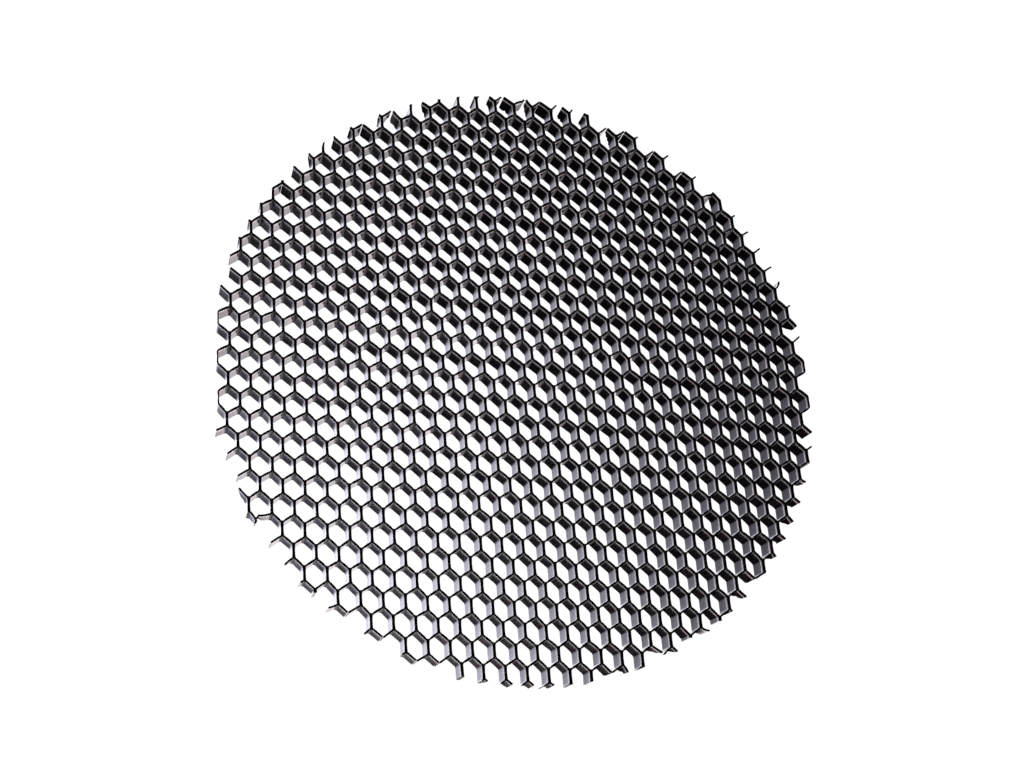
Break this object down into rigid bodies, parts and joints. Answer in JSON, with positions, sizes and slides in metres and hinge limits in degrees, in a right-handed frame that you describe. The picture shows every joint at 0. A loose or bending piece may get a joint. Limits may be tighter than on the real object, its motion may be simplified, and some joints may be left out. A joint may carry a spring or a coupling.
{
  "type": "honeycomb light grid",
  "caption": "Bare round black honeycomb grid that narrows a studio light's beam; a disc cut from expanded aluminium foil core with a ragged edge.",
  "frame": {"origin": "middle of the disc on its back face", "axes": "+Z along the cells from the back face to the front face, +Y along the foil ribbons, +X along the rows of cells"},
  "size_m": [0.1673, 0.1696, 0.0063],
  "materials": {
    "painted_foil": "satin black paint over thin aluminium foil",
    "adhesive": "cured amber adhesive, mostly hidden between the foils"
  },
  "bodies": {
    "root": {"ribbon_01": "painted_foil", "ribbon_02": "painted_foil", "ribbon_03": "painted_foil", "ribbon_04": "painted_foil", "ribbon_05": "painted_foil", "ribbon_06": "painted_foil", "ribbon_07": "painted_foil", "ribbon_08": "painted_foil", "ribbon_09": "painted_foil", "ribbon_10": "painted_foil", "ribbon_11": "painted_foil", "ribbon_12": "painted_foil", "ribbon_13": "painted_foil", "ribbon_14": "painted_foil", "ribbon_15": "painted_foil", "ribbon_16": "painted_foil", "ribbon_17": "painted_foil", "ribbon_18": "painted_foil", "ribbon_19": "painted_foil", "ribbon_20": "painted_foil", "ribbon_21": "painted_foil", "ribbon_22": "painted_foil", "ribbon_23": "painted_foil", "ribbon_24": "painted_foil", "ribbon_25": "painted_foil", "ribbon_26": "painted_foil", "ribbon_27": "painted_foil", "ribbon_28": "painted_foil", "ribbon_29": "painted_foil", "ribbon_30": "painted_foil", "ribbon_31": "painted_foil", "ribbon_32": "painted_foil", "ribbon_33": "painted_foil", "ribbon_34": "painted_foil", "ribbon_35": "painted_foil", "ribbon_36": "painted_foil", "ribbon_37": "painted_foil", "ribbon_38": "painted_foil", "ribbon_39": "painted_foil", "ribbon_40": "painted_foil", "ribbon_41": "painted_foil", "ribbon_42": "painted_foil", "ribbon_43": "painted_foil", "ribbon_44": "painted_foil", "ribbon_45": "painted_foil", "ribbon_46": "painted_foil", "ribbon_47": "painted_foil", "ribbon_48": "painted_foil", "ribbon_49": "painted_foil", "ribbon_50": "painted_foil", "ribbon_51": "painted_foil", "ribbon_52": "painted_foil", "ribbon_53": "painted_foil", "ribbon_54": "painted_foil", "ribbon_55": "painted_foil", "ribbon_56": "painted_foil", "ribbon_57": "painted_foil", "ribbon_58": "painted_foil", "ribbon_59": "painted_foil", "wall_adhesive": "adhesive"}
  },
  "joints": []
}
